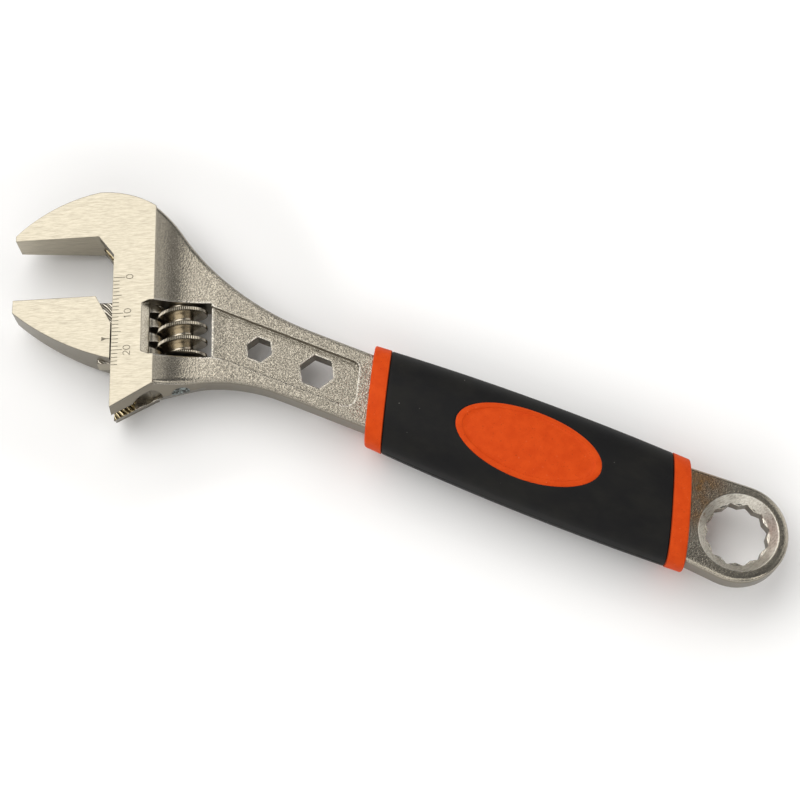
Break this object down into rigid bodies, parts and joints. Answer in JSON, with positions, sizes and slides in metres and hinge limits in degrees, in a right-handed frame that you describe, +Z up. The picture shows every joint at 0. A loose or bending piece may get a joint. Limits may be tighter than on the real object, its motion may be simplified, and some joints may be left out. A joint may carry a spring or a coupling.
{
  "type": "adjustable wrench",
  "caption": "Adjustable wrench with a sliding lower jaw set by a knurled worm, a 12-point ring end, key sockets in the neck and a two-colour grip.",
  "frame": {"origin": "under the middle of the bounding box, on the plane that the grip rests on", "axes": "+X along the handle from the jaws to the ring end, +Y to the fixed jaw's side, +Z up through the face with the opening scale"},
  "size_m": [0.2122, 0.0562, 0.0186],
  "materials": {
    "forged_steel": "satin nickel plate, ground bright on the jaws and head faces",
    "turned_steel": "bright turned nickel plate with a knurled rim",
    "wire_steel": "bright drawn wire",
    "orange_plastic": "satin moulded",
    "black_rubber": "matt moulded"
  },
  "bodies": {
    "frame": {"body": "forged_steel", "worm_pin": "turned_steel", "worm_spring": "wire_steel", "grip_core": "orange_plastic", "grip_cover": "black_rubber"},
    "jaw": {"moving_jaw": "forged_steel"},
    "worm": {"adjusting_worm": "turned_steel"}
  },
  "joints": [
    {"name": "jaw_slide", "type": "slide", "parent": "frame", "child": "jaw", "axis": [-0.4035, 0.915, 0], "range_m": [-0.0072, 0.0167]},
    {"name": "worm_spin", "type": "hinge", "parent": "frame", "child": "worm", "pos_m": [-0.05562, -0.00073, 0.0093], "axis": [-0.4035, 0.915, 0], "range_deg": [-1503.5, 648.5]}
  ],
  "couplings": [
    {"joint": "worm_spin", "follows": "jaw_slide", "rad_per_m": -1570.8}
  ]
}
